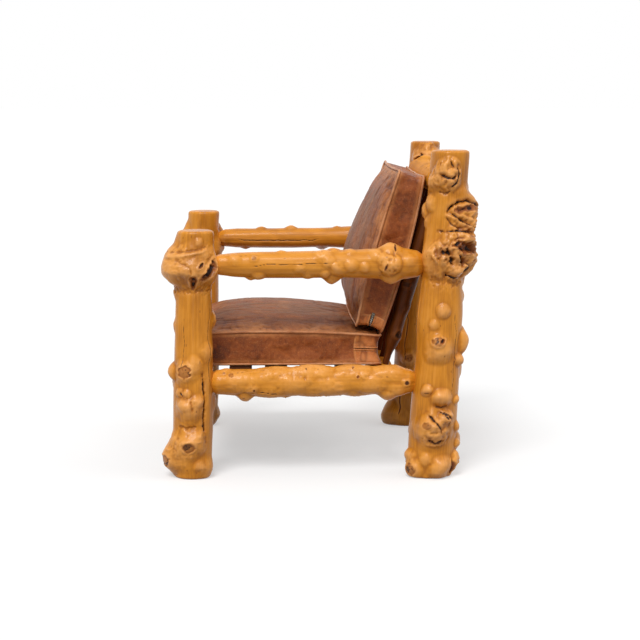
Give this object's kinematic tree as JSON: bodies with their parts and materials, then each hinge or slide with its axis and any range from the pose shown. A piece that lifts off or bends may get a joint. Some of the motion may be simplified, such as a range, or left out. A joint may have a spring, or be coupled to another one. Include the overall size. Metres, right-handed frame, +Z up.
{
  "type": "twig chair",
  "caption": "Rustic log armchair of burled posts and rails, with slatted seat, spindle back and two loose leather cushions.",
  "frame": {"origin": "on the floor, under the middle of the chair's box", "axes": "+Z up, +Y towards the back of the chair, +X towards the sitter's left"},
  "size_m": [0.8255, 0.8345, 0.862],
  "materials": {
    "lacquered_pine": "peeled pine under glossy honey lacquer",
    "dark_stained_pine": "dark stained and lacquered pine",
    "brown_leather": "distressed waxy brown leather, worn paler on edges",
    "tan_piping": "leather welt, rubbed tan",
    "cushion_foam": "open cell foam in a thin wrap",
    "zip_metal": "dull nickel"
  },
  "bodies": {
    "root": {"front_post_left": "lacquered_pine", "front_post_right": "lacquered_pine", "rear_post_left": "lacquered_pine", "rear_post_right": "lacquered_pine", "arm_left": "lacquered_pine", "arm_right": "lacquered_pine", "side_rail_left": "lacquered_pine", "side_rail_right": "lacquered_pine", "front_rail": "lacquered_pine", "crest_rail": "lacquered_pine", "rear_seat_rail": "lacquered_pine", "back_spindle_1": "dark_stained_pine", "back_spindle_2": "dark_stained_pine", "back_spindle_3": "dark_stained_pine", "back_spindle_4": "dark_stained_pine", "back_spindle_5": "dark_stained_pine", "seat_slat_1": "dark_stained_pine", "seat_slat_2": "dark_stained_pine", "seat_slat_3": "dark_stained_pine", "seat_slat_4": "dark_stained_pine"},
    "seat_cushion": {"seat_cushion_cover": "brown_leather", "seat_cushion_foam": "cushion_foam", "seat_cushion_upper_piping": "tan_piping", "seat_cushion_lower_piping": "tan_piping", "seat_cushion_zip": "zip_metal"},
    "seat_zip_slider": {"seat_cushion_zip_slider": "zip_metal"},
    "back_cushion": {"back_cushion_cover": "brown_leather", "back_cushion_foam": "cushion_foam", "back_cushion_upper_piping": "tan_piping", "back_cushion_lower_piping": "tan_piping", "back_cushion_zip": "zip_metal"},
    "back_zip_slider": {"back_cushion_zip_slider": "zip_metal"}
  },
  "joints": [
    {"name": "seat_cushion_slide", "type": "slide", "parent": "root", "child": "seat_cushion", "axis": [0, -1, 0], "range_m": [0, 0.3]},
    {"name": "back_cushion_lift", "type": "slide", "parent": "root", "child": "back_cushion", "axis": [0, -0.866, 0.5], "range_m": [0, 0.2]},
    {"name": "seat_zip_slide", "type": "slide", "parent": "seat_cushion", "child": "seat_zip_slider", "axis": [-0.047, 0.9989, 0], "range_m": [0, 0.038]},
    {"name": "back_zip_slide", "type": "slide", "parent": "back_cushion", "child": "back_zip_slider", "axis": [0.0825, -0.2813, -0.9561], "range_m": [0, 0.007]}
  ]
}
